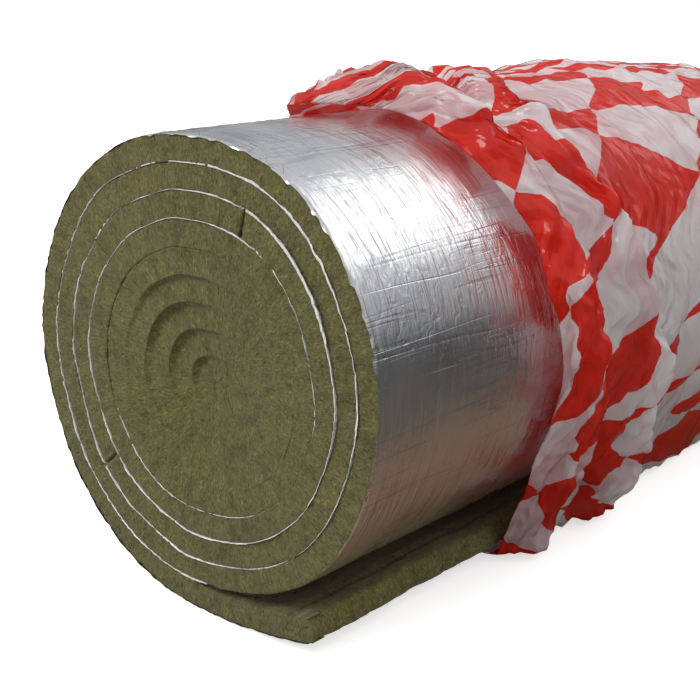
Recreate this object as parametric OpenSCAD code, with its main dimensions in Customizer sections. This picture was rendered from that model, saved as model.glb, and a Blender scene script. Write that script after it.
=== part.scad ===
// Foil-faced stone wool mat, rolled up and lying on its side, with the free end of the mat
// running out from under the roll and the packing film pushed back from the front end.
// The roll's axis runs along Y, the front end faces -Y, and Z = 0 is the floor.

/* [Mat] */
// Thickness of the wool
wool_thickness = 29.5; // [20:0.5:50]
// Thickness of the foil facing
foil_thickness = 0.3; // [0.2:0.1:1]
// Slack between the foil and the wool of the next turn
turn_slack = 0.7; // [0.4:0.1:2]
// Width of the mat, which is the length of the roll
mat_width = 1000; // [960:10:1200]

/* [Roll] */
// Turns of the mat in the roll
turns = 9; // [6:1:11]
// How much wider than high the roll has become by sagging
sag = 25; // [4:1:60]
// Depth to which the slit between the turns is open on each end
slit_depth = 12; // [4:1:40]

/* [Free end] */
// Reach of the free end from under the roll's axis
tail_reach = 184; // [140:1:210]
// Radius to which the free end stays curled
tail_curl = 650; // [500:10:1400]
// Distance of the last lamella joint from the cut end
joint_inset = 28; // [15:1:60]
// Width of the lamella joint where it is open
joint_width = 5; // [2:0.5:10]
// Depth of the lamella joint
joint_depth = 9; // [3:0.5:16]

/* [Packing film] */
// Thickness of the film
film_thickness = 0.5; // [0.3:0.1:1.5]
// Room between the film and what it wraps
film_room = 10; // [5:0.5:20]
// Distance of the film's front hem from the front end, beside the roll's axis
hem_distance = 335; // [280:5:380]
// How much further forward the hem lies on top of the roll than beside it
hem_slant = 95; // [0:5:120]
// Folds into which the film is gathered
folds = 3; // [2:1:4]
// Length of the gathered part behind the hem
gather_length = 495; // [300:5:540]
// Height of the tallest fold over the smooth part of the film
fold_height = 52; // [20:1:80]
// Depth of the dips between the folds
fold_dip = 18; // [5:1:20]
// How far the film is drawn in over the back end
turn_in = 95; // [40:1:150]

/* [Hidden] */
$fn = 96;

// The foil line is a spiral of half circles: the left halves share one centre, the right halves
// another one half a pitch above it, so that each turn runs smoothly into the next. Straight
// pieces as long as the sag join them above and below.
pitch = wool_thickness + foil_thickness + turn_slack;
roll_radius = turns * pitch;
base = film_thickness + 0.3 * turn_slack;
left_z = base + roll_radius;
right_z = left_z + pitch / 2;
function left_radius(turn) = roll_radius - turn * pitch;
function right_radius(turn) = roll_radius - pitch / 2 - turn * pitch;

// The free end lies level under the sagged part of the roll and goes on as an arc
tail_z = base + tail_curl;
tail_angle = asin((tail_reach - sag) / tail_curl);
function along_tail(distance) = tail_angle - distance / tail_curl * 180 / PI;

// Beyond this from the axis there is nothing of the roll
past_roll = 3 * roll_radius;
cut_overlap = 1;

// The film is a loop of rings round the roll, each with this many corners
film_corners = 60;
steps_per_fold = 4;
fold_steps = folds * steps_per_fold;
// Share of its height that the last fold has lost
fold_fade = 0.5;
film_back = mat_width / 2 + film_room;
// Steepness of the film between the roll's side and the tip of the free end
tip_dx = tail_reach + film_room - sag;
tip_dz = tail_z - tail_curl * cos(tail_angle) - right_z;
film_slope = atan2(tip_dz, tip_dx) + acos(right_radius(0) / norm([tip_dx, tip_dz]));

// Flat shapes in the plane of the roll's end

module half_ring(outer, inner, right) {
    translate([right ? sag : 0, right ? right_z : left_z])
        intersection() {
            difference() {
                circle(outer);
                if (inner > 0) circle(inner);
            }
            translate([right ? 0 : -past_roll, -past_roll])
                square([past_roll, 2 * past_roll]);
        }
}

module straight(low, high) {
    translate([0, low])
        square([sag, high - low]);
}

module tail(outer, inner) {
    straight(tail_z - outer, tail_z - inner);
    translate([sag, tail_z])
        intersection() {
            difference() {
                circle(outer, $fn = 360);
                circle(inner, $fn = 360);
            }
            polygon([
                [0, 0],
                [0, -2 * tail_curl],
                2 * tail_curl * [sin(tail_angle), -cos(tail_angle)]
            ]);
        }
}

// A band that follows one turn of the foil line, from out to in of it
module turn_band(turn, out, in) {
    above = left_z + left_radius(turn);
    below = right_z - right_radius(turn);
    half_ring(left_radius(turn) + out, left_radius(turn) - in, false);
    straight(above - in, above + out);
    half_ring(right_radius(turn) + out, right_radius(turn) - in, true);
    straight(below - out, below + in);
}

module inner_turns(out, in) {
    for (turn = [1 : turns - 1])
        turn_band(turn, out, in);
}

module lamella_joint() {
    translate([sag, tail_z])
        rotate(along_tail(joint_inset))
            translate([0, -(tail_curl - foil_thickness - wool_thickness)])
                polygon([
                    [-joint_width / 2, cut_overlap],
                    [joint_width / 2, cut_overlap],
                    [joint_width / 2, 0],
                    [0, -joint_depth],
                    [-joint_width / 2, 0]
                ]);
}

// Stands a flat shape up and draws it along the roll's axis
module along_roll(length) {
    rotate([90, 0, 0])
        linear_extrude(length, center = true)
            children();
}

module at_both_ends(depth) {
    for (side = [-1, 1])
        translate([0, side * (mat_width - depth) / 2, 0])
            along_roll(depth)
                children();
}

// Pieces

module wool_mat() {
    color("#6f6a45")
        difference() {
            along_roll(mat_width)
                difference() {
                    union() {
                        half_ring(left_radius(0) - foil_thickness, 0, false);
                        straight(right_z - right_radius(0) + foil_thickness,
                                 left_z + left_radius(0) - foil_thickness);
                        half_ring(right_radius(0) - foil_thickness, 0, true);
                        tail(tail_curl - foil_thickness,
                             tail_curl - foil_thickness - wool_thickness);
                    }
                    lamella_joint();
                }
            at_both_ends(slit_depth)
                inner_turns(turn_slack, foil_thickness);
        }
}

module foil_facing() {
    color("#c9ccd0") {
        along_roll(mat_width) {
            turn_band(0, 0, foil_thickness);
            tail(tail_curl, tail_curl - foil_thickness);
        }
        at_both_ends(slit_depth)
            inner_turns(0, foil_thickness);
    }
}

// Distance from the axis to the outside of the roll and its free end, in the direction a
function right_reach(a) =
    let (along = sag * cos(a) + pitch / 2 * sin(a), across = sag * sin(a) - pitch / 2 * cos(a))
        along + sqrt(pow(right_radius(0), 2) - pow(across, 2));
function slope_reach(a) =
    (right_radius(0) + sag * cos(film_slope) + pitch / 2 * sin(film_slope)) / cos(a - film_slope);
function roll_reach(a) =
    a > 90 || a < -90 ? left_radius(0)
    : a > atan2(left_radius(0), sag) ? left_radius(0) / sin(a)
    : a > film_slope ? right_reach(a)
    : min(slope_reach(a), left_radius(0) / max(-sin(a), 0.01));

// Each ring of the film is [distance from the hem, height over the smooth part]. The hem lies low,
// then come the folds. The two rings with no distance are the back edge, whole and drawn in.
function fold_rings() = [
    for (i = [1 : fold_steps])
        let (
            crest = 0.5 - 0.5 * cos(360 * i / steps_per_fold),
            fade = 1 - fold_fade * i / fold_steps
        )
            [i / fold_steps * gather_length, fade * (fold_height - fold_dip * (1 - crest))]
];
function film_rings() = concat([[0, 0]], fold_rings(), [[undef, 0], [undef, -turn_in]]);

function hem(a) = -mat_width / 2 + hem_distance - hem_slant * sin(a);
function film_point(ring, a, inset) =
    let (
        reach = roll_reach(a) + film_room + ring[1] - inset,
        y = is_undef(ring[0]) ? film_back + film_thickness - inset : hem(a) + ring[0]
    )
        [reach * cos(a), y, max(left_z + reach * sin(a), inset)];

module packing_film() {
    rings = film_rings();
    count = len(rings);
    last = count - 1;
    loop = concat(
        [for (i = [0 : last]) [rings[i], 0]],
        [for (i = [0 : last]) [rings[last - i], film_thickness]]
    );
    points = [
        for (ring = loop, corner = [0 : film_corners - 1])
            film_point(ring[0], 180 - 360 * corner / film_corners, ring[1])
    ];
    function corner_of(i, j) = (i % len(loop)) * film_corners + j % film_corners;
    faces = [
        for (i = [0 : len(loop) - 1], j = [0 : film_corners - 1], half = [0, 1])
            half == 0
                ? [corner_of(i, j), corner_of(i + 1, j), corner_of(i + 1, j + 1)]
                : [corner_of(i, j), corner_of(i + 1, j + 1), corner_of(i, j + 1)]
    ];
    color("#d8262c")
        polyhedron(points, faces);
}

wool_mat();
foil_facing();
packing_film();
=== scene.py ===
import math
import bpy
import bmesh
import numpy as np
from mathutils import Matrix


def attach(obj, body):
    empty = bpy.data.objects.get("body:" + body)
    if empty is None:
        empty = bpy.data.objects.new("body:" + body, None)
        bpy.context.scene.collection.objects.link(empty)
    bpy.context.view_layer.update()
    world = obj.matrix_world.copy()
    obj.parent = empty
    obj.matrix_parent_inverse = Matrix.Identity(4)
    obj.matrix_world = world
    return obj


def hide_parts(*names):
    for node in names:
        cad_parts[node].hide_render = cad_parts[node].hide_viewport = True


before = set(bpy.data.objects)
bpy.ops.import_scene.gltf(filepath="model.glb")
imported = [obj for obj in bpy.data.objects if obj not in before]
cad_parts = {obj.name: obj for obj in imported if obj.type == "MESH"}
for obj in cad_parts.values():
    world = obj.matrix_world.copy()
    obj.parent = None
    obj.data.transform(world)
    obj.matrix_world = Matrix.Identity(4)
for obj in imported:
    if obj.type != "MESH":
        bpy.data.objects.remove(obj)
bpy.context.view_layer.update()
print("frame loaded")


# noise and mesh helpers

def smoothNoise(points, size, seed):
    # value noise between -1 and 1
    q = np.asarray(points, float) / size
    cell = np.floor(q).astype(np.int64)
    f = q - cell
    f = f * f * f * (f * (f * 6 - 15) + 10)
    total = np.zeros(q.shape[:-1])
    for dx in (0, 1):
        for dy in (0, 1):
            for dz in (0, 1):
                h = ((cell[..., 0] + dx) * 374761393 + (cell[..., 1] + dy) * 668265263
                     + (cell[..., 2] + dz) * 2147483647 + seed * 1274126177)
                h = (h ^ (h >> 13)) * 1274126177
                h = ((h ^ (h >> 16)) & 0xFFFFFF) / 0x7FFFFF - 1
                wx = f[..., 0] if dx else 1 - f[..., 0]
                wy = f[..., 1] if dy else 1 - f[..., 1]
                wz = f[..., 2] if dz else 1 - f[..., 2]
                total += h * wx * wy * wz
    return total


def flatNoise(a, b, sizeA, sizeB, seed):
    a, b = np.broadcast_arrays(a, b)
    return smoothNoise(np.stack([a / sizeA, b / sizeB, np.full(a.shape, 0.37)], -1), 1.0, seed)


def lineNoise(a, size, seed):
    return flatNoise(a, 0 * a, size, 1, seed)


def smoothStep(lo, hi, x):
    t = np.clip((x - lo) / (hi - lo), 0, 1)
    return t * t * (3 - 2 * t)


def bump(angle, middle, width):
    off = (angle - middle + 180) % 360 - 180
    return np.exp(-(off / width) ** 2)


def gridMesh(name, grids, weld=1e-6):
    # each grid: points n x m x 3, uv n x m x 2, tone n x m, and whether its faces are flipped
    verts, faces, uvs, tones = [], [], [], []
    base = 0
    for points, uv, tone, flipped in grids:
        n, m = points.shape[:2]
        index = base + np.arange(n * m).reshape(n, m)
        quad = np.stack([index[:-1, :-1], index[1:, :-1], index[1:, 1:], index[:-1, 1:]], -1)
        quad = quad.reshape(-1, 4)
        faces.append(quad[:, ::-1] if flipped else quad)
        verts.append(points.reshape(-1, 3))
        uvs.append(uv.reshape(-1, 2))
        tones.append(tone.reshape(-1))
        base += n * m
    verts, faces = np.concatenate(verts), np.concatenate(faces)
    uvs, tones = np.concatenate(uvs), np.concatenate(tones)
    mesh = bpy.data.meshes.new(name)
    mesh.vertices.add(len(verts))
    mesh.vertices.foreach_set("co", verts.ravel())
    mesh.loops.add(faces.size)
    mesh.loops.foreach_set("vertex_index", faces.ravel())
    mesh.polygons.add(len(faces))
    mesh.polygons.foreach_set("loop_start", np.arange(0, faces.size, 4))
    mesh.update(calc_edges=True)
    mesh.uv_layers.new(name="flat").data.foreach_set("uv", uvs[faces.ravel()].ravel())
    mesh.attributes.new("tone", "FLOAT", "POINT").data.foreach_set("value", tones)
    work = bmesh.new()
    work.from_mesh(mesh)
    bmesh.ops.remove_doubles(work, verts=work.verts, dist=weld)
    work.to_mesh(mesh)
    work.free()
    mesh.shade_smooth()
    return linked(name, mesh)


def linked(name, data):
    obj = bpy.data.objects.new(name, data)
    bpy.context.scene.collection.objects.link(obj)
    return obj


# the wound mat: distance s along the foil from the cut end, depth d from the foil inwards

mat = dict(wool=0.0295, foil=0.0003, slack=0.0007, turns=9, width=1.0, sag=0.025, tailReach=0.184,
           tailCurl=0.65, base=0.00071, jointAt=0.028, jointDepth=0.0038, lamella=0.155, tailStep=0.0034)
mat["pitch"] = mat["wool"] + mat["foil"] + mat["slack"]
mat["radius"] = mat["turns"] * mat["pitch"]
mat["thick"] = mat["wool"] + mat["foil"]
mat["axis"] = mat["base"] + mat["radius"]
mat["front"] = -mat["width"] / 2
mat["back"] = mat["width"] / 2

# where the roll has lost its round shape: height, direction and width in degrees
swells = [(0.010, 50, 24), (0.004, 18, 18), (-0.0045, -25, 24), (-0.0075, -68, 26)]


def matRuns():
    # half circles and straight pieces in turn, from the free end to the eye:
    # radius, centre x, centre z, first angle, length, bend
    half, sag = math.pi / 2, mat["sag"]
    lift = math.asin((mat["tailReach"] - sag) / mat["tailCurl"])
    curl, low = mat["tailCurl"], mat["base"] + mat["tailCurl"]
    runs = [(curl, sag, low, lift - half, curl * lift, 1 / curl), (curl, sag, low, -half, sag, 0)]
    for turn in range(mat["turns"]):
        r = mat["radius"] - turn * mat["pitch"]
        q = r - mat["pitch"] / 2
        runs.append((r, 0, mat["axis"], -half, math.pi * r, 1 / r))
        runs.append((r, 0, mat["axis"], half, sag, 0))
        runs.append((q, sag, mat["axis"] + mat["pitch"] / 2, half, math.pi * q, 1 / q))
        runs.append((q, sag, mat["axis"] + mat["pitch"] / 2, -half, sag, 0))
    return np.array(runs[:-1]), lift


runs, tailLift = matRuns()
runStart = np.concatenate([[0], np.cumsum(runs[:, 4])])
matLength = float(runStart[-1])
tailLength = float(runStart[2])
skinLength = float(runStart[6])
tailSteps = np.arange(0, tailLength + 0.07, mat["tailStep"])
print("mat: %.2f m long" % matLength)


def turnStart(turn):
    return float(runStart[2 + 4 * turn])


def matLine(s, d):
    # flat position of the mat in the plane of the roll's end
    s, d = np.broadcast_arrays(np.asarray(s, float), np.asarray(d, float))
    j = np.clip(np.searchsorted(runStart, s, side="right") - 1, 0, len(runs) - 1)
    radius, cx, cz, first, _, bend = (runs[j, i] for i in range(6))
    gone = s - runStart[j]
    angle = first - gone * bend
    flat = np.where(bend == 0, gone, 0)
    r = np.maximum(radius - d, 0.0006)
    x = cx + r * np.cos(angle) + flat * np.sin(angle)
    z = cz + r * np.sin(angle) - flat * np.cos(angle)
    return settle(x, z, j)


def settle(x, z, run):
    # the real roll isn't a clean spiral: its eye lies to one side, its shoulder bulges
    # and it rides up off the free end
    dz = z - mat["axis"]
    r = np.hypot(x, dz)
    share = np.clip(1 - r / mat["radius"], 0, 1)
    angle = np.degrees(np.arctan2(dz, x))
    swell = sum(high * bump(angle, middle, width) for high, middle, width in swells)
    swell = np.where(run > 2, swell, 0) * smoothStep(0.2, 1.0, r / mat["radius"])
    lump = np.where(run > 1, 0.0010 + 0.0022 * smoothStep(0.0, 0.25, share), 0) * smoothStep(0.004, 0.05, z)
    p = np.stack([x, dz, np.zeros_like(x)], -1)
    ox = 0.026 * share ** 1.7 + lump * smoothNoise(p, 0.07, 3)
    oz = 0.004 * share ** 1.7 + lump * smoothNoise(p, 0.07, 4)
    return x + ox + swell * np.cos(np.radians(angle)), z + oz + swell * np.sin(np.radians(angle))


def foilAngle(s):
    # direction of the foil from the roll's axis, in degrees
    x, z = matLine(s, 0 * s)
    return np.degrees(np.arctan2(z - mat["axis"], x))


def nearestAlong(x, z, turns):
    s = np.arange(turnStart(turns[0]), turnStart(turns[1]), 0.001)
    px, pz = matLine(s, 0.015 + 0 * s)
    return float(s[np.argmin((px - x) ** 2 + (pz - mat["axis"] - z) ** 2)])


# joints between the lamellas: where along the mat, how wide and how deep they gape on the cut face
jointRandom = np.random.default_rng(5)
joints = [(mat["jointAt"] + mat["lamella"] * n, jointRandom.uniform(0.0005, 0.0009),
           jointRandom.uniform(0, 0.0035)) for n in range(1, 50)]
joints.append((nearestAlong(0.098, 0.190, (2, 4)), 0.0014, 0.016))
joints.append((nearestAlong(-0.150, -0.128, (2, 4)), 0.0012, 0.010))
joints.append((nearestAlong(-0.150, 0.140, (1, 3)), 0.0008, 0.007))


def topDepth(s, y):
    # wool side of the free end: tufted, open at its last lamella joint and worn down at the cut end
    wander = 0.0022 * lineNoise(y, 0.05, 21) + 0.001 * lineNoise(y, 0.012, 22)
    groove = np.exp(-np.abs((s - mat["jointAt"] - wander) / 0.0036) ** 1.3)
    tuft = 0.0013 * flatNoise(s, y, 0.005, 0.007, 23) + 0.0016 * flatNoise(s, y, 0.02, 0.05, 24)
    tuft = tuft + 0.0006 * flatNoise(s, y, 0.0025, 0.003, 25)
    lip = 0.0032 * np.exp(-(s / 0.0035) ** 1.3) * (1 + 0.7 * lineNoise(y, 0.014, 26))
    deep = mat["jointDepth"] * (0.8 + 0.3 * lineNoise(y, 0.03, 27))
    return mat["thick"] + tuft - deep * groove - lip, groove


def tornOut(x, z, s, share, y):
    # the cut end is torn: it stands out by another amount at each share of its height
    d = share * mat["thick"]
    torn = 0.004 * flatNoise(y, d, 0.016, 0.012, 28) + 0.002 * flatNoise(y, d, 0.006, 0.006, 29)
    ragged = 0.0030 * lineNoise(y, 0.030, 30) + 0.0018 * lineNoise(y, 0.009, 45)
    out = torn * np.sin(np.pi * np.clip(share, 0, 1)) ** 0.5 + 0.003 * np.sin(np.pi * share) + 0.0035 + ragged
    out = out * np.exp(-(s / 0.006) ** 2)
    return x + out * math.cos(tailLift), z + out * math.sin(tailLift)


def faceRelief(s, d, x, z):
    # how far the cut face of the mat stands back from the plane of the end
    r = np.hypot(x - 0.035, z - mat["axis"] - 0.006) / mat["radius"]
    back = 0.018 * smoothStep(0.60, 0.0, r)
    angle = np.degrees(np.arctan2(z - mat["axis"], x - 0.02))
    f = np.clip(d / mat["pitch"], 0, 1)
    f = f + 0.06 * flatNoise(s, d, 0.010, 0.02, 18) * smoothStep(0, 0.15, f) * smoothStep(1, 0.9, f)
    step = np.where(f < 0.17, 0.5 - f / 0.17, (f - 0.17) / 0.83 - 0.5)
    inner = smoothStep(0.62, 0.40, r)
    step = 0.0078 * inner * smoothStep(0.03, 0.14, r) * step * (0.12 + 0.88 * bump(angle, 132, 46))
    wave = 0.0016 * lineNoise(s, 0.16, 11) + 0.0009 * flatNoise(s, d, 0.035, 0.03, 12)
    level = 0.0016 * flatNoise(x, z, 0.09, 0.09, 11) + 0.0009 * flatNoise(x, z, 0.035, 0.030, 12)
    back = back - step + wave * (1 - inner) + level * inner
    tuft = 0.0009 * flatNoise(s, d, 0.0065, 0.011, 13) + 0.0007 * flatNoise(s, d, 0.0034, 0.005, 14)
    near = np.maximum(np.minimum(d - mat["foil"], mat["pitch"] - d), 0)
    tuft = tuft * (1 - 0.85 * inner * np.exp(-near / 0.0025))
    ragged = 1 + 0.9 * flatNoise(s, d, 0.011, 0.02, 15)
    edge = 0.0006 * ragged * np.exp(-(near / 0.0010) ** 1.3) * (1 - inner)
    wander = 0.0012 * lineNoise(d, 0.006, 16)
    gape = sum(deep * np.exp(-np.abs((s - at + wander) / wide) ** 2.5) for at, wide, deep in joints)
    return back - tuft + edge + gape


def cutSheet(atFront, step, depths, walls):
    # one end of the roll: the spiral face of the mat, with walls going into the slits beside it
    around = [tailSteps, np.arange(tailLength + 0.07, matLength, step), [matLength]]
    if atFront:
        gaping = [at for at, wide, deep in joints if deep > 0.006]
        around += [at + np.array([-2.4, -1.2, -0.5, 0, 0.5, 1.2, 2.4]) * 0.001 for at in gaping]
    s = np.unique(np.concatenate(around))
    d = np.array(depths)
    sg, dg = np.meshgrid(s, d, indexing="ij")
    side = mat["front"] if atFront else mat["back"]
    onTail = smoothStep(tailLength + 0.02, tailLength - 0.04, sg)
    top, _ = topDepth(sg, side + 0 * sg)
    share = (dg - mat["foil"]) / (d[-1] - mat["foil"])
    dg = dg * (1 - onTail) + onTail * (mat["foil"] + share * (top - mat["foil"]))
    # the inner turns are pressed together
    shut = smoothStep(turnStart(3) - 0.3, turnStart(5), sg)
    dg = dg + shut * np.clip(share, 0, 1) ** 8 * mat["slack"]
    x, z = matLine(sg, dg)
    x, z = tornOut(x, z, sg, share, side + 0 * sg)
    relief = faceRelief(sg, dg, x, z) if atFront else 0.5 * faceRelief(sg + 31, dg, x, z)
    rows = [np.stack([x, relief, z], -1)]
    tone = [0.5 + 0 * x]
    for w in walls:
        rows.insert(0, np.stack([x[:, :1], relief[:, :1] + w, z[:, :1]], -1))
        rows.append(np.stack([x[:, -1:], relief[:, -1:] + w, z[:, -1:]], -1))
        # the walls into the slits get a low tone: painted shade in the slits, lighter where the inner turns
        # are pressed shut and on the free end
        tone.insert(0, 0.1 + 0.40 * shut[:, :1])
        tone.append(0.1 + 0.35 * onTail[:, -1:] + 0.40 * shut[:, -1:])
    points = np.concatenate(rows, 1)
    points[..., 1] = side + points[..., 1] if atFront else side - points[..., 1]
    allDepths = np.concatenate([d[:1]] * len(walls) + [d] + [d[-1:]] * len(walls))
    uv = np.stack(np.broadcast_arrays(s[:, None], allDepths[None, :]), -1)
    return points, uv, np.concatenate(tone, 1), not atFront


def tailSheets():
    # the wool side of the free end, and its torn cut end
    s = np.unique(np.concatenate([tailSteps, mat["jointAt"] + np.arange(-4, 4.1, 1) * 0.001]))
    end = mat["back"] - 0.0015
    y = np.concatenate([np.arange(-end, -0.05, 0.0042), np.linspace(-0.05, end, 60)])
    sg, yg = np.meshgrid(s, y, indexing="ij")
    d, groove = topDepth(sg, yg)
    x, z = matLine(sg, d)
    x, z = tornOut(x, z, sg, 1 + 0 * yg, yg)
    share, yEnd = np.meshgrid(np.linspace(0, 1, 14), y, indexing="ij")
    dEnd = mat["foil"] + share * (d[:1] - mat["foil"])
    ex, ez = matLine(0 * dEnd, dEnd)
    ex, ez = tornOut(ex, ez, 0 * dEnd, share, yEnd)
    # the groove of the open joint gets a lower tone: painted shade in the groove
    return [(np.stack([x, yg, z], -1), np.stack([yg, sg], -1), 0.5 - 0.34 * groove, False),
            (np.stack([ex, yEnd, ez], -1), np.stack([yEnd + 3, dEnd], -1), 0.6 + 0 * dEnd, False)]


def eyeTuft():
    # loose wool over the mat's inner end
    t, r = np.meshgrid(np.linspace(0, 2 * math.pi, 33), np.linspace(0.0004, 0.016, 9), indexing="ij")
    x, z = 0.040 + 1.1 * r * np.cos(t), mat["axis"] + 0.006 + r * np.sin(t)
    y = mat["front"] + 0.0158 + 0.0011 * flatNoise(x, z, 0.005, 0.005, 20) + 34 * r ** 2
    return np.stack([x, y, z], -1), np.stack([x + 7, z], -1), 0.52 + 0 * x, True


# rows across the mat's thickness, from the foil inwards
fineDepths = np.array([0.3, 1.2, 2.6, 4.4, 6.6, 9, 12, 15, 18, 21, 24, 26.4, 28.2, 29.4, 30.3]) * 0.001
coarseDepths = np.array([0.3, 1.5, 8, 15, 22, 28.8, 30.3]) * 0.001

frontFace = cutSheet(True, 0.0031, fineDepths, (0.003, 0.008, 0.02))
backFace = cutSheet(False, 0.012, coarseDepths, (0.004, 0.016))
wool = gridMesh("rolled_wool", [frontFace, backFace, eyeTuft()] + tailSheets())
print("wool: %d faces" % len(wool.data.polygons))


# foil: the outer skin with its creases, and the edges that show between the turns

foilSkin = dict(stepAround=0.0046, stepAlong=0.0040, overhang=0.0024, edgeStep=0.0024, edgeDepth=0.02,
                foldAt=0.003)


def foilRelief(s, y):
    # creases stand out of the skin: long ones along the roll, short ones round it, from a fine scrim
    warpS = s + 0.004 * flatNoise(s, y, 0.05, 0.12, 31)
    warpY = y + 0.005 * flatNoise(s, y, 0.10, 0.05, 32)
    long = 1 - np.abs(flatNoise(warpS, warpY, 0.020, 0.30, 33))
    short = 1 - np.abs(flatNoise(warpS, warpY, 0.045, 0.011, 34))
    mask = smoothStep(-0.3, 0.6, flatNoise(s, y, 0.11, 0.13, 35))
    out = 0.0006 * long ** 12 + 0.0010 * (short ** 7) * mask
    out = out + 0.0011 * flatNoise(s, y, 0.06, 0.10, 36)
    return out + 0.00035 * flatNoise(warpS, warpY, 0.009, 0.006, 37)


def outerSkin():
    front, overhang = mat["front"], foilSkin["overhang"]
    s = np.concatenate([np.arange(0, skinLength, foilSkin["stepAround"]), [skinLength]])
    y = np.concatenate([front + np.array([-overhang, -0.0015, 0, 0.0015, 0.0035]),
                        np.arange(front + 0.006, -0.02, foilSkin["stepAlong"]),
                        np.linspace(-0.02, mat["back"] - 0.006, 44), [mat["back"]]])
    sg, yg = np.meshgrid(s, y, indexing="ij")
    rim = np.exp(-((yg - front) / 0.004) ** 2)
    onTail = smoothStep(tailLength + 0.05, tailLength - 0.03, sg)
    lift = foilRelief(sg, yg) * (1 - 0.85 * onTail)
    lift = np.maximum(lift, 0.0001) * (1 - rim) + rim * 0.0004
    # the front rim is ragged and bent in over the wool, most of all on the shoulder
    curl = smoothStep(front - 0.0005, front - overhang, yg)
    shoulder = bump(foilAngle(sg), 32, 46)
    bent = np.maximum(lineNoise(sg, 0.007, 38), 0) + 0.6 * np.maximum(lineNoise(sg, 0.019, 49), 0)
    lift = lift - curl * (0.0007 + 0.0042 * bent * (0.25 + 0.75 * shoulder))
    lift = np.where(sg > skinLength - 0.06, np.minimum(lift, 0.0004), lift)
    x, z = matLine(sg, -lift)
    ragged = 0.0026 * flatNoise(sg, yg, 0.006, 1, 39) + 0.0018 * flatNoise(sg, yg, 0.017, 1, 40)
    yOut = yg + rim * (0.0004 + ragged)
    return np.stack([x, yOut, np.maximum(z, 0.0004)], -1), np.stack([sg, yg], -1), 0 * sg, True


def turnEdges():
    # foil edges between the turns, folded over the wool at the upper right
    deep, foldAt = foilSkin["edgeDepth"], foilSkin["foldAt"]
    s = np.arange(skinLength - 0.02, turnStart(6), foilSkin["edgeStep"])
    inFrom = np.array([deep, 0.008, 0.004, foldAt, 0.0022, 0.0012, 0.0])
    sg, wg = np.meshgrid(s, inFrom, indexing="ij")
    relief = faceRelief(sg, 0.006 + 0 * sg, *matLine(sg, 0 * sg))
    wide = bump(foilAngle(sg), 42, 40) * smoothStep(turnStart(4), turnStart(3), sg)
    patchy = 0.75 + 0.35 * lineNoise(sg, 0.035, 44)
    proud = 0.0011 + 0.0010 * lineNoise(sg, 0.11, 41) + 0.0006 * lineNoise(sg, 0.009, 42)
    proud = proud + 0.0017 * wide - 0.0062 * smoothStep(turnStart(3) + 0.6, turnStart(5) + 0.4, sg)
    jagged = 0.0034 + 0.0013 * lineNoise(sg, 0.012, 46) + 0.0009 * lineNoise(sg, 0.005, 47)
    over = 0.0006 + 0.0008 * lineNoise(sg, 0.03, 43) + jagged * wide * patchy
    x, z = matLine(sg, -over * np.clip(1 - wg / foldAt, 0, 1))
    y = mat["front"] + relief - proud * (1 - wg / deep) + np.maximum(wg - foldAt, 0)
    y = y + 0.0004 * flatNoise(sg, wg, 0.008, 0.002, 48)
    return np.stack([x, y, z], -1), np.stack([sg, wg], -1), 1 + 0 * sg, True


foil = gridMesh("foil_facing_skin", [outerSkin(), turnEdges()])
print("foil: %d faces" % len(foil.data.polygons))


# packing film: a sleeve shaped round the roll in rough folds, then crumpled by a cloth simulation

packing = dict(around=240, along=124, fineAround=326, fineAlong=300, lineSteps=24, room=0.010, slack=0.026,
               turnIn=0.095, frames=14, hold=0.33, grow=0.035, rising=0.68, motif=(0.165, 0.240), drift=0.6,
               flatWidth=1.98, flatLength=1.35)

# lines across the sleeve, from the part folded under:
# place (0 front, 1 crest of the main fold, 2 back edge), rise, share of the slack
foldLines = [
    (0.62, 0.000, 0.1), (0.30, 0.003, 0.2), (0.06, 0.002, 0.1), (0.00, 0.006, 0.1), (0.03, 0.011, 0.2),
    (0.11, 0.022, 0.3), (0.24, 0.034, 0.5), (0.42, 0.016, 0.5), (0.60, 0.005, 0.5), (0.80, 0.030, 0.2),
    (1.00, 0.047, 0.0), (1.025, 0.026, 0.3), (1.06, 0.000, 0.9), (1.22, 0.001, 1.0), (1.40, 0.005, 1.1),
    (1.65, 0.000, 0.9), (1.85, 0.000, 0.7), (2.00, 0.000, 0.5),
]

# narrow folds where the film is gathered: width, height, slant, film hidden by each, seed
gatherFolds = [(0.046, 0.0096, 0.10, 0.055, 301), (0.027, 0.0036, -0.16, 0.018, 302),
               (0.014, 0.0010, 0.24, 0.0, 303)]

# slack creases: tilt in degrees, width, height, seed
slackCreases = [(12, 0.062, 0.0062, 311), (-20, 0.090, 0.0062, 312), (34, 0.125, 0.0052, 313),
                (-6, 0.030, 0.0020, 314)]


def inLip(deg):
    return np.exp(-((deg - 95) / 24) ** 2)


def hemLine(deg):
    setBack = 0.058 * smoothStep(97, 120, deg) * smoothStep(178, 140, deg)
    return -0.216 - 0.043 * np.sin(np.radians(deg)) - 0.034 * inLip(deg) + setBack


def gatherLength(deg):
    t = np.radians(deg)
    return 0.150 * (1 + 0.22 * np.cos(t + 0.9425) - 0.28 * np.sin(2 * t) + 1.15 * inLip(deg))


def offFloor(deg):
    # 0 where the film lies under the roll, 1 where it is free
    return smoothStep(10, 38, np.abs(deg + 90))


def turnsRound(count):
    return -math.pi + 2 * math.pi * np.arange(count) / count


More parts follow.
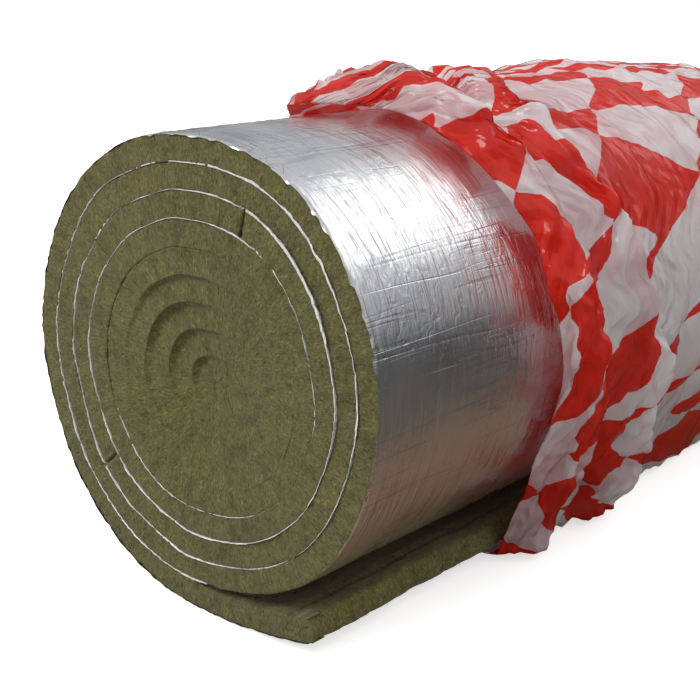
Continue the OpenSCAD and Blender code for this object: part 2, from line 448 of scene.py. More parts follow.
def rollHull(angles):
    # reach of the tight outline of roll and free end from the axis, in each direction
    s = np.linspace(0, skinLength, 900)
    x, z = matLine(s, 0 * s)
    tipX, tipZ = matLine(np.zeros(5), np.linspace(0, mat["thick"] + 0.002, 5))
    points = np.unique(np.round(np.stack([np.r_[x, tipX], np.r_[z, tipZ]], -1), 6), axis=0)

    def cross(a, b):
        return a[0] * b[1] - a[1] * b[0]

    def oneSide(ordered):
        out = []
        for p in ordered:
            while len(out) > 1 and cross(out[-1] - out[-2], p - out[-2]) <= 0:
                out.pop()
            out.append(p)
        return out[:-1]

    ring = np.array(oneSide(points) + oneSide(points[::-1]))
    ax, az = ring[:, 0], ring[:, 1] - mat["axis"]
    ex, ez = (np.roll(ring, -1, 0) - ring).T
    reach = []
    for t in angles:
        dx, dz = math.cos(t), math.sin(t)
        den = dx * ez - dz * ex
        den = np.where(np.abs(den) < 1e-12, 1e-12, den)
        far = (ax * ez - az * ex) / den
        place = (ax * dz - az * dx) / den
        reach.append(far[(place >= -1e-9) & (place <= 1 + 1e-9) & (far > 0)].max())
    return np.array(reach)


def filmStart():
    n, m, steps = packing["around"], packing["along"], packing["lineSteps"]
    turn = turnsRound(n)
    deg = np.degrees(turn)
    circle = np.stack([np.cos(turn), np.sin(turn), np.zeros(n)], -1)

    def ringNoise(size, seed):
        return smoothNoise(circle, size, seed)

    free = offFloor(deg)
    lip = inLip(deg)
    behindLip = bump(deg, 128, 25)
    slack = packing["slack"] * (0.5 + 0.5 * np.sin(turn))
    hem, gather = hemLine(deg), gatherLength(deg)
    crest = hem + gather
    reach = rollHull(turn) + packing["room"] * (0.25 + 0.75 * free) * (1 - 0.5 * behindLip)
    rowsY, rowsH = [], []
    for k, (place, rise, share) in enumerate(foldLines):
        # the rows at the front edge wander together
        near = k if k < 2 or k > 4 else 3
        wander = 0.011 * ringNoise(0.30, 51 + near) + 0.004 * ringNoise(0.11, 61 + near)
        if place <= 1:
            y = hem + gather * (place + 0.2 * lip * math.sin(math.pi * place)) + wander
            rise = rise * (1 - 0.4 * lip * (place == 1)) * (1 - 0.6 * behindLip * (k > 2 and place < 0.5))
        else:
            y = crest + (place - 1) * (mat["back"] - crest) + wander * (place < 2)
        uneven = 1 + 0.20 * ringNoise(0.26, 71 + k) + 0.16 * ringNoise(0.10, 81 + k)
        rowsY.append(y)
        rowsH.append(free * (rise * uneven + share * slack * (1 + 0.12 * ringNoise(0.4, 91 + k))))
    rowsY, rowsH = np.array(rowsY), np.array(rowsH)

    # each direction's profile: eased between the rows, then over the back rim and drawn in
    profile = []
    f = np.linspace(0, 1, steps, endpoint=False)[:, None]
    e = 0.7 * f + 0.3 * f * f * (3 - 2 * f)
    for k in range(len(rowsY) - 1):
        y = rowsY[k] * (1 - f) + rowsY[k + 1] * f
        profile.append(np.stack([y, rowsH[k] * (1 - e) + rowsH[k + 1] * e], -1))
    pleat = 0.6 * np.sin(turn * 17 + 2.2 * ringNoise(0.5, 121))
    pleat = pleat + 0.4 * np.sin(turn * 31 + 2 * ringNoise(0.4, 122))
    drawn = packing["turnIn"] + packing["room"]
    for f in np.linspace(0, 1, 30)[1:]:
        over = 0.006 * math.sin(min(f * 4, 1) * math.pi / 2)
        y = mat["back"] + over + (0.002 + 0.011 * f) * f ** 0.5 * (0.6 + 0.6 * pleat)
        h = rowsH[-1] * (1 - f) - drawn * f * (1 + 0.10 * ringNoise(0.2, 123) * f)
        profile.append(np.stack([y, h], -1)[None])
    profile = np.concatenate(profile, 0)

    # the free end's side bulges out sideways and lies on the floor
    lean = smoothStep(-8, -42, deg) * (deg > -89)
    dirX, dirZ = np.cos(turn) * (1 - lean) + lean, np.sin(turn) * (1 - lean)
    size = np.hypot(dirX, dirZ)
    out, inward = np.maximum(profile[..., 1], 0), np.minimum(profile[..., 1], 0)
    x = (reach + inward) * np.cos(turn) + out * dirX / size
    z = mat["axis"] + (reach + inward) * np.sin(turn) + out * dirZ / size
    points = np.stack([x, profile[..., 0], np.maximum(z, 0.0004)], -1)

    # even spacing along each profile, with most rows in the folds
    step = np.linalg.norm(np.diff(points, axis=0), axis=-1)
    gone = np.concatenate([np.zeros((1, n)), np.cumsum(step, 0)])
    want = np.linspace(0, 1, m)
    want = want * 0.50 + 0.50 * want ** 2.4
    grid = np.zeros((n, m, 3))
    along, under = np.zeros((n, m)), np.zeros((n, m))
    for i in range(n):
        along[i] = want * gone[-1, i]
        for c in range(3):
            grid[i, :, c] = np.interp(along[i], gone[:, i], points[:, i, c])
        under[i] = smoothStep(5 * steps, 3 * steps, np.interp(along[i], gone[:, i], np.arange(len(points))))
    hold = packing["hold"] + (1 - packing["hold"]) * (1 - free[:, None]) + 0 * along
    place = (grid[..., 1] - hem[:, None]) / gather[:, None]
    calm = np.maximum(0.75 * smoothStep(1.0, 1.5, place), under)
    return grid, along, hold, calm, under


def tubeFaces(n, m):
    i, j = np.meshgrid(np.arange(n), np.arange(m - 1), indexing="ij")
    k = (i + 1) % n
    return np.stack([i * m + j, i * m + j + 1, k * m + j + 1, k * m + j], -1).reshape(-1, 4)


def tubeObject(name, grid):
    mesh = bpy.data.meshes.new(name)
    mesh.from_pydata(grid.reshape(-1, 3).tolist(), [], tubeFaces(*grid.shape[:2]).tolist())
    return linked(name, mesh)


def crumple(grid, hold, calm):
    # cloth with more film in it than the shape has room for, held loosely to that shape
    cloth = tubeObject("film_cloth", grid)
    for name, values in (("hold", hold), ("calm", calm)):
        group = cloth.vertex_groups.new(name=name)
        levels = np.round(values.ravel(), 2)
        for level in np.unique(levels):
            group.add(np.nonzero(levels == level)[0].tolist(), float(level), "REPLACE")
    mod = cloth.modifiers.new("cloth", "CLOTH")
    c = mod.settings
    c.shrink_min, c.shrink_max = -packing["grow"], 0
    c.vertex_group_shrink = "calm"
    c.vertex_group_mass = "hold"
    c.quality = 5
    c.mass = 0.05
    c.air_damping = 1
    c.tension_stiffness = c.compression_stiffness = 60
    c.shear_stiffness = 8
    c.bending_stiffness = 0.15
    c.tension_damping = c.compression_damping = c.shear_damping = 0.3
    c.bending_damping = 0.02
    c.effector_weights.gravity = 0.12
    mod.collision_settings.use_collision = True
    mod.collision_settings.distance_min = 0.003
    mod.collision_settings.use_self_collision = False
    mod.point_cache.frame_start, mod.point_cache.frame_end = 1, packing["frames"]

    # the roll and its free end as a plain tube that the film can't pass
    turn = turnsRound(120)
    reach = rollHull(turn) - 0.001
    ring = np.stack([reach * np.cos(turn), np.zeros(120), mat["axis"] + reach * np.sin(turn)], -1)
    rings = [ring + (0, y, 0) for y in np.linspace(mat["front"], mat["back"], 9)]
    former = tubeObject("film_former", np.stack(rings, 1))
    former.modifiers.new("collision", "COLLISION")
    former.collision.thickness_outer = 0.002
    former.collision.cloth_friction = 8
    for step in range(1, packing["frames"] + 1):
        bpy.context.scene.frame_set(step)
    done = cloth.evaluated_get(bpy.context.evaluated_depsgraph_get())
    co = np.zeros(grid.size)
    done.data.vertices.foreach_get("co", co)
    bpy.data.objects.remove(cloth)
    bpy.data.objects.remove(former)
    bpy.context.scene.frame_set(1)
    return co.reshape(grid.shape)


def finer(values, count, axis, loop):
    # smooth cubic reading of a grid at more places
    n = values.shape[axis]
    t = np.arange(count) * n / count if loop else np.linspace(0, n - 1, count)
    i = np.floor(t).astype(int)
    f = (t - i).reshape([-1 if k == axis else 1 for k in range(values.ndim)])
    weights = ((-f + 2 * f ** 2 - f ** 3) / 2, (2 - 5 * f ** 2 + 3 * f ** 3) / 2,
               (f + 4 * f ** 2 - 3 * f ** 3) / 2, (f ** 3 - f ** 2) / 2)
    total = 0
    for k, w in zip((-1, 0, 1, 2), weights):
        at = (i + k) % n if loop else np.clip(i + k, 0, n - 1)
        total = total + w * np.take(values, at, axis)
    return total


def filmCreases(grid, along, outer):
    # narrow folds that run with the hem where the film is gathered, and long slack creases behind
    n, rising = grid.shape[0], packing["rising"]
    deg = np.degrees(turnsRound(n))
    u = packing["flatWidth"] * (np.arange(n) / n)[:, None] + 0 * along
    seam = smoothStep(0.0, 0.10, np.minimum(u, packing["flatWidth"] - u))
    place = (grid[..., 1] - hemLine(deg)[:, None]) / gatherLength(deg)[:, None]
    gathered = smoothStep(1.5, 0.95, place)
    total, tucked = np.zeros_like(along), np.zeros_like(along)
    for wide, high, slant, tuck, seed in gatherFolds:
        phase = (along + slant * u) / wide + 1.2 * flatNoise(u, along, 0.30, 0.14, seed)
        f = phase - np.floor(phase)
        crest = np.where(f < rising, f / rising, (1 - f) / (1 - rising))
        mask = smoothStep(-0.45, 0.2, flatNoise(u, along, 0.20, 0.07, seed + 20))
        total += high * (crest - 0.45) * mask * gathered
        # film that a fold hides behind its steep side
        behind = np.floor(phase) + np.clip((f - rising) / (1 - rising), 0, 1)
        passed = np.maximum(np.diff(behind, axis=1, prepend=behind[:, :1]), 0)
        tucked += tuck * np.cumsum(passed * mask * gathered, 1)
    for tilt, across, high, seed in slackCreases:
        t = math.radians(tilt)
        p, q = along * math.cos(t) + u * math.sin(t), u * math.cos(t) - along * math.sin(t)
        phase = p / across + 0.55 * flatNoise(q, p, 0.45, 0.20, seed)
        crest = 1 - np.abs(2 * (phase - np.floor(phase)) - 1)
        mask = smoothStep(-0.25, 0.4, flatNoise(q, p, 0.34, 0.11, seed + 20))
        total += high * (crest - 0.5) * mask * (1 - 0.5 * gathered)
    normal = np.cross(np.gradient(grid, axis=1), np.roll(grid, -1, 0) - np.roll(grid, 1, 0))
    normal /= np.linalg.norm(normal, axis=-1, keepdims=True) + 1e-12
    loose = (offFloor(deg) * (1 - 0.8 * bump(deg, 128, 36)))[:, None]
    return grid + (total * outer * loose * seam)[..., None] * normal, tucked * seam


def filmSleeve():
    grid, along, hold, calm, under = filmStart()
    shaped = grid
    grid = crumple(grid, hold, calm)
    moved = np.linalg.norm(grid - shaped, axis=-1).mean()
    print("film: simulated, moved %.1f mm on average" % (1000 * moved))
    around = packing["fineAround"]
    grid, along, under = (finer(finer(v, around, 0, True), packing["fineAlong"], 1, False)
                          for v in (grid, along, under))
    grid, tucked = filmCreases(grid, along, 1 - np.clip(under, 0, 1))
    grid[..., 2] = np.maximum(grid[..., 2], 0.0003)
    points, v, tone = (np.concatenate([a, a[:1]]) for a in (grid, along, tucked))
    u = packing["flatWidth"] * np.arange(around + 1) / around
    sleeve = gridMesh("packing_film_sleeve",
                      [(points, np.stack(np.broadcast_arrays(u[:, None], v), -1), tone, True)], 1e-7)
    area = sum(p.area for p in sleeve.data.polygons)
    length = (along + tucked)[:, -1].mean()
    print("film: %d faces, %.3f m2, %.2f m along" % (len(sleeve.data.polygons), area, length))
    return sleeve


film = filmSleeve()


# node helpers

def newMaterial(name):
    m = bpy.data.materials.new(name)
    m.use_nodes = True
    m.node_tree.nodes.clear()
    return m, m.node_tree, m.node_tree.nodes.new("ShaderNodeOutputMaterial")


def addNode(tree, kind, **values):
    # a value is a setting of the node, or an input's default
    n = tree.nodes.new(kind)
    for key, value in values.items():
        if hasattr(n, key):
            setattr(n, key, value)
        else:
            n.inputs[key.replace("_", " ")].default_value = value
    return n


def give(tree, value, socket):
    # a number or colour is set, a socket is joined
    if isinstance(value, (int, float)):
        socket.default_value = value
    elif isinstance(value, tuple):
        socket.default_value = (*value, 1)
    else:
        tree.links.new(value, socket)


def ramp(tree, factor, stops):
    n = tree.nodes.new("ShaderNodeValToRGB")
    while len(n.color_ramp.elements) < len(stops):
        n.color_ramp.elements.new(0.5)
    for e, (pos, col) in zip(n.color_ramp.elements, stops):
        e.position = pos
        e.color = (*col, 1)
    tree.links.new(factor, n.inputs[0])
    return n.outputs[0]


def maths(tree, kind, *values):
    n = addNode(tree, "ShaderNodeMath", operation=kind)
    for socket, value in zip(n.inputs, values):
        give(tree, value, socket)
    return n.outputs[0]


def noise(tree, vector, size, stretch=(1, 1, 1), detail=3.0, rough=0.55, bend=0.0, turn=0.0):
    place = addNode(tree, "ShaderNodeMapping", Scale=stretch, Rotation=(0, 0, turn))
    tree.links.new(vector, place.inputs["Vector"])
    n = addNode(tree, "ShaderNodeTexNoise", Scale=1 / size, Detail=detail, Roughness=rough, Distortion=bend)
    tree.links.new(place.outputs[0], n.inputs["Vector"])
    return n.outputs["Fac"]


def offMiddle(tree, value):
    return maths(tree, "ABSOLUTE", maths(tree, "SUBTRACT", value, 0.5))


def ranged(tree, value, lo, hi, toLo, toHi):
    n = addNode(tree, "ShaderNodeMapRange", From_Min=lo, From_Max=hi, To_Min=toLo, To_Max=toHi)
    tree.links.new(value, n.inputs["Value"])
    return n.outputs[0]


def blend(tree, kind, factor, a, b):
    n = addNode(tree, "ShaderNodeMix", data_type="RGBA", blend_type=kind)
    for i, value in ((0, factor), (6, a), (7, b)):
        give(tree, value, n.inputs[i])
    return n.outputs[2]


def mixShaders(tree, factor, a, b):
    n = tree.nodes.new("ShaderNodeMixShader")
    for i, value in enumerate((factor, a, b)):
        give(tree, value, n.inputs[i])
    return n.outputs[0]


def bumped(tree, heights):
    # bumps one over another: each is a height and how high it stands
    normal = None
    for height, high in heights:
        n = addNode(tree, "ShaderNodeBump", Strength=1.0, Distance=high)
        tree.links.new(height, n.inputs["Height"])
        if normal is not None:
            tree.links.new(normal, n.inputs["Normal"])
        normal = n.outputs[0]
    return normal


def flatPlace(tree):
    return addNode(tree, "ShaderNodeUVMap", uv_map="flat").outputs[0]


def toneOf(tree):
    return addNode(tree, "ShaderNodeAttribute", attribute_name="tone").outputs["Fac"]


# loose fibres on the cut end and the free end

fibreSet = dict(density=5600.0, length=0.0095, thick=0.023, seed=4)


def fibreTree(material):
    tree = bpy.data.node_groups.new("scattered_fibres", "GeometryNodeTree")
    sockets = {}
    tree.interface.new_socket("Geometry", in_out="INPUT", socket_type="NodeSocketGeometry")
    for name, kind in (("Density", "Float"), ("Length", "Float"), ("Thickness", "Float"), ("Seed", "Int")):
        socket = tree.interface.new_socket(name, in_out="INPUT", socket_type="NodeSocket" + kind)
        sockets[name] = socket.identifier
    tree.interface.new_socket("Geometry", in_out="OUTPUT", socket_type="NodeSocketGeometry")
    nodes, links = tree.nodes, tree.links
    given, out = nodes.new("NodeGroupInput"), nodes.new("NodeGroupOutput")

    def randomValue(lo, hi, seed):
        n = addNode(tree, "FunctionNodeRandomValue", data_type="FLOAT")
        n.inputs[2].default_value, n.inputs[3].default_value, n.inputs[8].default_value = lo, hi, seed
        return n.outputs[1]

    spread = nodes.new("GeometryNodeDistributePointsOnFaces")
    links.new(given.outputs["Geometry"], spread.inputs["Mesh"])
    links.new(given.outputs["Density"], spread.inputs["Density"])
    links.new(given.outputs["Seed"], spread.inputs["Seed"])
    hair = addNode(tree, "GeometryNodeCurveQuadraticBezier", Resolution=5, Start=(0, 0, -0.02),
                   Middle=(0.5, 0.22, 0.24), End=(1.0, -0.06, 0.10))
    ring = addNode(tree, "GeometryNodeCurvePrimitiveCircle", Resolution=3)
    links.new(given.outputs["Thickness"], ring.inputs["Radius"])
    tube = addNode(tree, "GeometryNodeCurveToMesh", Fill_Caps=True)
    links.new(hair.outputs[0], tube.inputs["Curve"])
    links.new(ring.outputs[0], tube.inputs["Profile Curve"])
    lay = addNode(tree, "FunctionNodeRandomValue", data_type="FLOAT_VECTOR")
    lay.inputs[0].default_value, lay.inputs[1].default_value = (-0.3, -0.25, 0), (0.3, 0.15, 2 * math.pi)
    lay.inputs[8].default_value = 11
    angles = nodes.new("FunctionNodeEulerToRotation")
    links.new(lay.outputs[0], angles.inputs[0])
    spin = addNode(tree, "FunctionNodeRotateRotation", rotation_space="LOCAL")
    links.new(spread.outputs["Rotation"], spin.inputs[0])
    links.new(angles.outputs[0], spin.inputs[1])
    place = nodes.new("GeometryNodeInstanceOnPoints")
    links.new(spread.outputs["Points"], place.inputs["Points"])
    links.new(tube.outputs[0], place.inputs["Instance"])
    links.new(spin.outputs[0], place.inputs["Rotation"])
    size = maths(tree, "MULTIPLY", randomValue(0.45, 1.15, 12), given.outputs["Length"])
    links.new(size, place.inputs["Scale"])
    keep = addNode(tree, "GeometryNodeStoreNamedAttribute", data_type="FLOAT", domain="INSTANCE", Name="tone")
    links.new(place.outputs[0], keep.inputs["Geometry"])
    links.new(randomValue(0.0, 1.0, 13), keep.inputs["Value"])
    solid = nodes.new("GeometryNodeRealizeInstances")
    links.new(keep.outputs[0], solid.inputs[0])
    paint = addNode(tree, "GeometryNodeSetMaterial", Material=material)
    links.new(solid.outputs[0], paint.inputs["Geometry"])
    links.new(paint.outputs[0], out.inputs[0])
    return tree, sockets


def scatterFibres(material):
    obj = gridMesh("loose_fibres", [cutSheet(True, 0.0062, coarseDepths, ())] + tailSheets())
    tree, sockets = fibreTree(material)
    mod = obj.modifiers.new("fibres", "NODES")
    mod.node_group = tree
    for name, key in (("Density", "density"), ("Length", "length"), ("Thickness", "thick"), ("Seed", "seed")):
        mod[sockets[name]] = fibreSet[key]
    bpy.context.view_layer.update()
    mesh = bpy.data.meshes.new_from_object(obj.evaluated_get(bpy.context.evaluated_depsgraph_get()))
    obj.modifiers.remove(mod)
    # none goes through the floor
    co = np.zeros(len(mesh.vertices) * 3)
    mesh.vertices.foreach_get("co", co)
    co[2::3] = np.maximum(co[2::3], 0.0004)
    mesh.vertices.foreach_set("co", co)
    obj.data = mesh
    print("fibres: %d faces" % len(mesh.polygons))
    return obj


# materials

def woolMaterial():
    m, tree, out = newMaterial("stone_wool")
    bsdf = addNode(tree, "ShaderNodeBsdfPrincipled", Roughness=0.95, Specular_IOR_Level=0.12,
                   Sheen_Weight=0.12, Sheen_Roughness=0.6)
    tree.links.new(bsdf.outputs[0], out.inputs[0])
    uv = flatPlace(tree)
    fibre = noise(tree, uv, 0.0028, (1, 0.55, 1), 6.0, 0.72, 0.6)
    pits = noise(tree, uv, 0.0021, (1, 0.40, 1), 2.0, 0.5, 0.8)
    patch = noise(tree, uv, 0.016, (1, 0.6, 1), 3.0, 0.6)
    block = noise(tree, uv, 0.14, (1, 1, 1), 2.0, 0.5)
    # fibreGlint: lighter yellowish specks, painted highlights on the fibres
    fibreGlint = noise(tree, uv, 0.0019, (1, 0.5, 1), 3.0, 0.6, 0.9, 0.7)
    colour = ramp(tree, fibre, [(0.28, (0.052, 0.045, 0.012)), (0.45, (0.106, 0.097, 0.031)),
                                (0.59, (0.161, 0.150, 0.054)), (0.74, (0.32, 0.30, 0.135))])
    tints = [(patch, [(0.32, (0.74, 0.72, 0.66)), (0.5, (1.0, 1.0, 1.0)), (0.70, (1.20, 1.17, 1.05))]),
             (block, [(0.32, (0.90, 0.91, 0.92)), (0.55, (1.0, 1.0, 1.0)), (0.72, (1.10, 1.06, 0.94))]),
             (pits, [(0.30, (0.36, 0.34, 0.30)), (0.40, (1.0, 1.0, 1.0))]),
             (fibreGlint, [(0.60, (1.0, 1.0, 1.0)), (0.72, (1.75, 1.68, 1.45))]),
             # the tone tint is painted shade: a low tone darkens the walls into the slits and the free end's
             # groove
             (toneOf(tree), [(0.0, (0.30, 0.28, 0.24)), (0.5, (1, 1, 1)), (1.0, (1.5, 1.45, 1.3))])]
    for factor, stops in tints:
        colour = blend(tree, "MULTIPLY", 1.0, colour, ramp(tree, factor, stops))
    tree.links.new(colour, bsdf.inputs["Base Color"])
    tree.links.new(bumped(tree, [(maths(tree, "ADD", fibre, pits), 0.0009)]), bsdf.inputs["Normal"])
    return m


def fibreMaterial():
    m, tree, out = newMaterial("loose_fibre")
    bsdf = addNode(tree, "ShaderNodeBsdfPrincipled", Roughness=0.8, Specular_IOR_Level=0.2)
    tree.links.new(bsdf.outputs[0], out.inputs[0])
    place = tree.nodes.new("ShaderNodeTexCoord").outputs["Object"]
    colour = ramp(tree, toneOf(tree), [(0.0, (0.050, 0.043, 0.014)), (0.45, (0.15, 0.138, 0.055)),
                                       (0.8, (0.24, 0.225, 0.10)), (1.0, (0.40, 0.38, 0.20))])
    mottle = noise(tree, place, 0.004, (1, 1, 1), 2.0, 0.5)
    tint = ramp(tree, mottle, [(0.3, (0.75, 0.74, 0.70)), (0.7, (1.15, 1.12, 1.05))])
    tree.links.new(blend(tree, "MULTIPLY", 1.0, colour, tint), bsdf.inputs["Base Color"])
    return m


def foilMaterial():
    m, tree, out = newMaterial("crinkled_foil")
    bsdf = tree.nodes.new("ShaderNodeBsdfPrincipled")
    tree.links.new(bsdf.outputs[0], out.inputs[0])
    uv, tone = flatPlace(tree), toneOf(tree)
    zone = noise(tree, uv, 0.11, (1, 1, 1), 2.0, 0.5)
    group = noise(tree, uv, 0.05, (1, 0.25, 1), 1.0, 0.5)

    def crease(size, stretch, thin, bend, where, turn=0.0):
        off = offMiddle(tree, noise(tree, uv, size, stretch, 2.0, 0.45, bend, turn))
        return maths(tree, "MULTIPLY", ranged(tree, off, 0.0, thin, 1.0, 0.0), where)

    waves = noise(tree, uv, 0.014, (0.08, 1, 1), 3.0, 0.5, 0.3)
    ripples = noise(tree, uv, 0.0042, (0.10, 1, 1), 3.0, 0.6, 0.5)
    rounds = crease(0.020, (0.12, 1, 1), 0.045, 0.5, ranged(tree, zone, 0.40, 0.60, 0.1, 1.0))
    axial = crease(0.026, (1, 0.035, 1), 0.018, 0.10, ranged(tree, zone, 0.60, 0.40, 0.05, 1.0))
    close = crease(0.010, (1, 0.035, 1), 0.035, 0.08, ranged(tree, group, 0.52, 0.66, 0.0, 1.0))
    crinkle = crease(0.012, (0.45, 1, 1), 0.16, 0.9, ranged(tree, zone, 0.35, 0.65, 1.0, 0.4), 0.3)
    normal = bumped(tree, [(waves, 0.0016), (ripples, 0.00045), (rounds, 0.00032), (axial, 0.00024),
                           (close, 0.00014), (crinkle, 0.00030)])
    tree.links.new(normal, bsdf.inputs["Normal"])
    tint = ramp(tree, zone, [(0.3, (0.84, 0.85, 0.87)), (0.7, (0.92, 0.93, 0.94))])
    # the creases are painted darker: painted shade along the crease lines
    creaseShade = blend(tree, "MULTIPLY", maths(tree, "MAXIMUM", axial, close), tint, (0.72, 0.72, 0.73))
    tree.links.new(creaseShade, bsdf.inputs["Base Color"])
    # the edges between the turns are duller
    rough = maths(tree, "ADD", ranged(tree, zone, 0.3, 0.7, 0.22, 0.34), maths(tree, "MULTIPLY", tone, 0.15))
    tree.links.new(rough, bsdf.inputs["Roughness"])
    tree.links.new(ranged(tree, tone, 0.0, 1.0, 1.0, 0.15), bsdf.inputs["Metallic"])
    return m


def filmMaterial():
    m, tree, out = newMaterial("printed_film")
    uv = flatPlace(tree)
    split = tree.nodes.new("ShaderNodeSeparateXYZ")
    tree.links.new(uv, split.inputs[0])
    u, v = split.outputs[0], split.outputs[1]
    # red diamonds on milky film, broken where a fold hides some of it
    tucked = toneOf(tree)
    p = maths(tree, "ADD", u, maths(tree, "MULTIPLY", tucked, packing["drift"]))
    p = maths(tree, "DIVIDE", p, packing["motif"][0])
    q = maths(tree, "DIVIDE", maths(tree, "ADD", v, tucked), packing["motif"][1])
    stripes = []
    for kind in ("ADD", "SUBTRACT"):
        wave = maths(tree, "SINE", maths(tree, "MULTIPLY", maths(tree, kind, p, q), math.pi))
        stripes.append(ranged(tree, wave, -0.012, 0.012, 0.0, 1.0))
    red = maths(tree, "ABSOLUTE", maths(tree, "SUBTRACT", *stripes))
    cloud = noise(tree, uv, 0.05, (1, 1, 1), 4.0, 0.6)
    bare = blend(tree, "MIX", cloud, (0.86, 0.85, 0.86), (0.95, 0.94, 0.95))
    ink = blend(tree, "MIX", cloud, (0.74, 0.016, 0.008), (0.88, 0.040, 0.018))
    colour = blend(tree, "MIX", red, bare, ink)
    # doubled bands where the film is gathered
    gathered = ranged(tree, v, 0.36, 0.52, 1.0, 0.0)
    bands = noise(tree, uv, 0.060, (0.16, 1, 1), 1.0, 0.4, 0.2, 0.16)
    doubled = maths(tree, "MULTIPLY", ranged(tree, bands, 0.520, 0.532, 0.0, 1.0), gathered)
    colour = blend(tree, "MULTIPLY", doubled, colour, (0.90, 0.72, 0.73))

    def pleat(size, tilt, turn):
        # straight creases in patches
        t = math.radians(tilt)
        run = maths(tree, "ADD", maths(tree, "MULTIPLY", v, math.cos(t) / size),
                    maths(tree, "MULTIPLY", u, math.sin(t) / size))
        drift = noise(tree, uv, 0.30, (0.5, 1, 1), 1.0, 0.5, 0.0, turn)
        wave = maths(tree, "PINGPONG", maths(tree, "ADD", run, maths(tree, "MULTIPLY", drift, 3.0)), 0.5)
        patch = noise(tree, uv, 0.085, (0.28, 1, 1), 1.0, 0.5, 0.0, turn + 0.3)
        high = maths(tree, "MULTIPLY", ranged(tree, patch, 0.40, 0.58, 0.0, 1.0),
                     ranged(tree, gathered, 0.0, 1.0, 0.35, 1.0))
        return maths(tree, "MULTIPLY", wave, high)

    fine = offMiddle(tree, noise(tree, uv, 0.008, (0.35, 1, 1), 2.0, 0.5, 0.4, 0.6))
    normal = bumped(tree, [(pleat(0.038, 10, 0.2), 0.0110), (pleat(0.024, -16, -0.3), 0.0060),
                           (pleat(0.014, 26, 0.5), 0.0030), (pleat(0.026, 68, 1.2), 0.0030), (fine, 0.0005)])
    body = addNode(tree, "ShaderNodeBsdfPrincipled", Roughness=0.11, Specular_IOR_Level=0.7)
    through = tree.nodes.new("ShaderNodeBsdfTranslucent")
    tree.links.new(colour, body.inputs["Base Color"])
    tree.links.new(colour, through.inputs["Color"])
    for shader in (body, through):
        tree.links.new(normal, shader.inputs["Normal"])
    skin = mixShaders(tree, 0.42, body.outputs[0], through.outputs[0])
    clear = tree.nodes.new("ShaderNodeBsdfTransparent").outputs[0]
    whole = mixShaders(tree, ranged(tree, red, 0.0, 1.0, 0.80, 0.965), clear, skin)
    tree.links.new(whole, out.inputs[0])
    return m


wool.data.materials.append(woolMaterial())
foil.data.materials.append(foilMaterial())
film.data.materials.append(filmMaterial())
fibres = scatterFibres(fibreMaterial())
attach(fibres, "root")
for piece, node, slot in ((wool, "wool_mat", "wool"), (foil, "foil_facing", "foil"),
                          (film, "packing_film", "film")):
    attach(piece, "root")
    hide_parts(node)
print("materials set")


# floor, light and camera

def makeFloor():
    mesh = bpy.data.meshes.new("floor")
    mesh.from_pydata([(-30, -30, 0), (30, -30, 0), (30, 30, 0), (-30, 30, 0)], [], [(0, 1, 2, 3)])
    floor = linked("floor", mesh)
    m, tree, out = newMaterial("pale_floor")
    path = tree.nodes.new("ShaderNodeLightPath")
    # white to the camera, grey for bounced light, and warm near the roll where the foil mirrors it
    white = addNode(tree, "ShaderNodeBsdfDiffuse", Color=(0.9, 0.9, 0.9, 1))
    glow = addNode(tree, "ShaderNodeEmission", Color=(1, 1, 1, 1), Strength=0.62)
    seen = tree.nodes.new("ShaderNodeAddShader")
    tree.links.new(white.outputs[0], seen.inputs[0])
    tree.links.new(glow.outputs[0], seen.inputs[1])
    soft = addNode(tree, "ShaderNodeBsdfDiffuse", Color=(0.36, 0.36, 0.35, 1))
    place = tree.nodes.new("ShaderNodeTexCoord")
    away = tree.nodes.new("ShaderNodeSeparateXYZ")
    tree.links.new(place.outputs["Object"], away.inputs[0])
    near = ramp(tree, ranged(tree, away.outputs[0], 0.0, 1.2, 0.0, 1.0),
                [(0.0, (0.26, 0.17, 0.11)), (0.30, (0.24, 0.155, 0.10)), (0.52, (0.075, 0.068, 0.058)),
                 (1.0, (0.055, 0.055, 0.053))])
    warm = tree.nodes.new("ShaderNodeBsdfDiffuse")
    tree.links.new(near, warm.inputs[0])
    unseen = mixShaders(tree, path.outputs["Is Glossy Ray"], soft.outputs[0], warm.outputs[0])
    pick = mixShaders(tree, path.outputs["Is Camera Ray"], unseen, seen.outputs[0])
    tree.links.new(pick, out.inputs[0])
    mesh.materials.append(m)


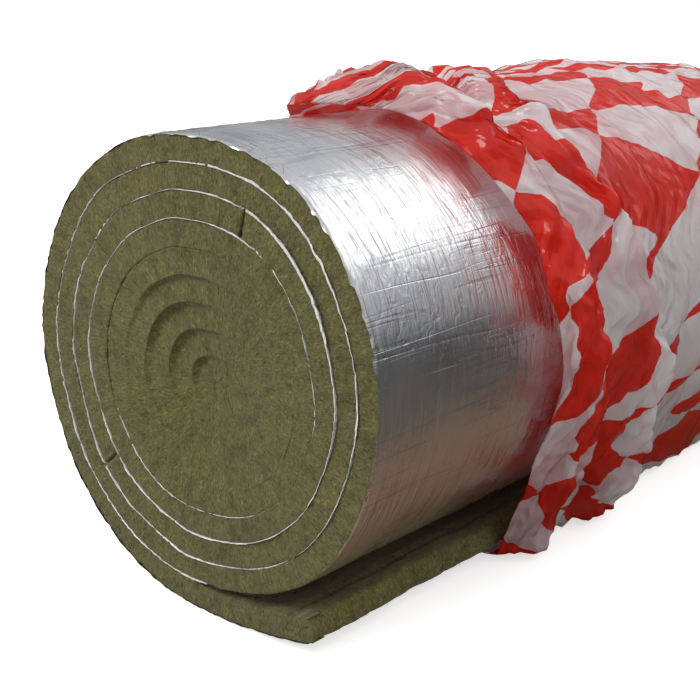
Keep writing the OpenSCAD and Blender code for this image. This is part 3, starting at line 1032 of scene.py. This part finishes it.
def makeWorld():
    world = bpy.data.worlds.new("studio")
    bpy.context.scene.world = world
    world.use_nodes = True
    tree = world.node_tree
    tree.nodes.clear()
    out = tree.nodes.new("ShaderNodeOutputWorld")
    path = tree.nodes.new("ShaderNodeLightPath")
    coord = tree.nodes.new("ShaderNodeTexCoord")
    split = tree.nodes.new("ShaderNodeSeparateXYZ")
    tree.links.new(coord.outputs["Generated"], split.inputs[0])

    def sky(stops):
        n = addNode(tree, "ShaderNodeBackground", Strength=1.0)
        tree.links.new(ramp(tree, split.outputs[2], stops), n.inputs[0])
        return n.outputs[0]

    mirrored = sky([(0.0, (0.045, 0.045, 0.045)), (0.12, (0.12, 0.123, 0.127)), (0.34, (0.40, 0.41, 0.42)),
                    (0.6, (0.50, 0.51, 0.52)), (1.0, (0.5, 0.5, 0.5))])
    fill = sky([(0.0, (0.36, 0.36, 0.37)), (0.25, (0.60, 0.60, 0.61)), (0.6, (1.0, 1.0, 1.0)),
                (1.0, (1.1, 1.1, 1.1))])
    white = addNode(tree, "ShaderNodeBackground", Color=(1, 1, 1, 1), Strength=1.0)
    unseen = mixShaders(tree, path.outputs["Is Glossy Ray"], fill, mirrored)
    pick = mixShaders(tree, path.outputs["Is Camera Ray"], unseen, white.outputs[0])
    tree.links.new(pick, out.inputs[0])


def aimed(obj, place, target, roll=0.0):
    aim = np.array(target) - np.array(place)
    aim = aim / np.linalg.norm(aim)
    obj.location = place
    obj.rotation_euler = (math.acos(-aim[2]), math.radians(roll), math.atan2(-aim[0], aim[1]))


def softBox(name, place, target, size, power):
    light = bpy.data.lights.new(name, "AREA")
    light.shape = "RECTANGLE"
    light.size, light.size_y = size
    light.energy = power
    aimed(linked(name, light), place, target)


makeFloor()
makeWorld()
softBox("overhead_back", (0.9, 2.0, 2.5), (0.05, -0.2, 0.35), (2.4, 1.5), 13)
softBox("front_left", (-1.0, -2.8, 2.4), (0, -0.5, 0.3), (1.6, 1.6), 50)

shot = dict(lens=63.85, sensor=36, place=(1.0259, -1.3436, 0.7008), target=(0.2501, -0.5, 0.3627), roll=0.35)
camera = linked("camera", bpy.data.cameras.new("camera"))
camera.data.sensor_width = shot["sensor"]
camera.data.lens = shot["lens"]
aimed(camera, shot["place"], shot["target"], shot["roll"])
bpy.context.scene.camera = camera
bpy.context.scene.view_settings.view_transform = "Standard"

print("done")
